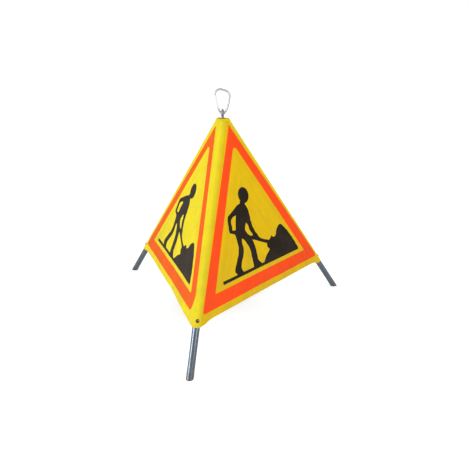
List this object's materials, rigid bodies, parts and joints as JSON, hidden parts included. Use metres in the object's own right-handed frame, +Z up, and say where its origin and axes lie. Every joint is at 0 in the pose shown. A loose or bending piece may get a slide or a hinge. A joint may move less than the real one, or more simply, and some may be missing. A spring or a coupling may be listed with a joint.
{
  "type": "folding tripod sign",
  "caption": "Folding tripod sign: a printed fabric pyramid on tube legs that a sprung pull rod and struts spread like an umbrella, with a snap hook on top.",
  "frame": {"origin": "on the ground, on the pull rod's axis", "axes": "+Z up along the pull rod, -Y towards the front leg, +X to the right, seen from the front"},
  "size_m": [0.9716, 0.8446, 0.8658],
  "materials": {
    "zinc_tube": "satin galvanised",
    "cast_metal": "cast, matt",
    "steel": "zinc plated",
    "chrome": "polished",
    "black_plastic": "matt",
    "yellow_fabric": "coated, retroreflective",
    "spring_steel": "oiled"
  },
  "bodies": {
    "head": {"head_crown": "cast_metal", "guide_bush": "black_plastic", "leg_hinge_pin_front": "steel", "leg_hinge_pin_right": "steel", "leg_hinge_pin_left": "steel", "cover_peak": "yellow_fabric", "crown_cap": "black_plastic", "cover_panel_right": "yellow_fabric", "cover_panel_rear": "yellow_fabric", "cover_panel_left": "yellow_fabric", "tension_spring": "spring_steel"},
    "leg_front": {"leg_tube_front": "zinc_tube", "leg_knuckle_front": "cast_metal", "foot_plug_front": "black_plastic", "sleeve_rivet_front": "steel", "strut_bracket_front": "cast_metal", "bracket_pin_front": "steel", "bracket_rivet_front": "steel", "corner_sleeve_front": "yellow_fabric"},
    "leg_right": {"leg_tube_right": "zinc_tube", "leg_knuckle_right": "cast_metal", "foot_plug_right": "black_plastic", "sleeve_rivet_right": "steel", "strut_bracket_right": "cast_metal", "bracket_pin_right": "steel", "bracket_rivet_right": "steel", "corner_sleeve_right": "yellow_fabric"},
    "leg_left": {"leg_tube_left": "zinc_tube", "leg_knuckle_left": "cast_metal", "foot_plug_left": "black_plastic", "sleeve_rivet_left": "steel", "strut_bracket_left": "cast_metal", "bracket_pin_left": "steel", "bracket_rivet_left": "steel", "corner_sleeve_left": "yellow_fabric"},
    "strut_front": {"strut_front": "steel"},
    "strut_right": {"strut_right": "steel"},
    "strut_left": {"strut_left": "steel"},
    "pull_rod": {"pull_rod": "steel", "hub_spider": "cast_metal", "hub_pin_front": "steel", "hub_pin_right": "steel", "hub_pin_left": "steel", "hub_nut": "steel", "eye_lock_nut": "steel", "rod_eye": "chrome"},
    "carabiner": {"carabiner_body": "chrome", "gate_pin": "steel"},
    "gate": {"carabiner_gate": "chrome"}
  },
  "joints": [
    {"name": "leg_front_fold", "type": "hinge", "parent": "head", "child": "leg_front", "pos_m": [0, -0.036, 0.71854], "axis": [1, 0, 0], "range_deg": [0, 34], "stiffness_Nm_per_rad": 1.22, "springref_deg": -38.96},
    {"name": "leg_right_fold", "type": "hinge", "parent": "head", "child": "leg_right", "pos_m": [0.03118, 0.018, 0.71854], "axis": [-0.5, 0.866, 0], "range_deg": [0, 34], "stiffness_Nm_per_rad": 1.22, "springref_deg": -38.96},
    {"name": "leg_left_fold", "type": "hinge", "parent": "head", "child": "leg_left", "pos_m": [-0.03118, 0.018, 0.71854], "axis": [-0.5, -0.866, 0], "range_deg": [0, 34], "stiffness_Nm_per_rad": 1.22, "springref_deg": -38.96},
    {"name": "strut_front_turn", "type": "hinge", "parent": "leg_front", "child": "strut_front", "pos_m": [0, -0.19204, 0.46145], "axis": [1, 0, 0], "range_deg": [0, 14.78]},
    {"name": "strut_right_turn", "type": "hinge", "parent": "leg_right", "child": "strut_right", "pos_m": [0.16631, 0.09602, 0.46145], "axis": [-0.5, 0.866, 0], "range_deg": [0, 14.78]},
    {"name": "strut_left_turn", "type": "hinge", "parent": "leg_left", "child": "strut_left", "pos_m": [-0.16631, 0.09602, 0.46145], "axis": [-0.5, -0.866, 0], "range_deg": [0, 14.78]},
    {"name": "rod_lift", "type": "slide", "parent": "head", "child": "pull_rod", "axis": [0, 0, 1], "range_m": [0, 0.0276], "deforming": ["tension_spring"]},
    {"name": "carabiner_swing", "type": "hinge", "parent": "pull_rod", "child": "carabiner", "pos_m": [0, 0, 0.77481], "axis": [1, 0, 0], "range_deg": [-100, 100]},
    {"name": "gate_open", "type": "hinge", "parent": "carabiner", "child": "gate", "pos_m": [-0.01768, 0, 0.79605], "axis": [0, 1, 0], "range_deg": [0, 25], "stiffness_Nm_per_rad": 0.05, "springref_deg": -22.92}
  ],
  "couplings": [
    {"joint": "leg_right_fold", "follows": "leg_front_fold", "ratio": 1},
    {"joint": "leg_left_fold", "follows": "leg_front_fold", "ratio": 1},
    {"joint": "strut_front_turn", "follows": "leg_front_fold", "ratio": 0.4317},
    {"joint": "strut_right_turn", "follows": "leg_front_fold", "ratio": 0.4317},
    {"joint": "strut_left_turn", "follows": "leg_front_fold", "ratio": 0.4317},
    {"joint": "rod_lift", "follows": "leg_front_fold", "m_per_rad": 0.046342}
  ]
}
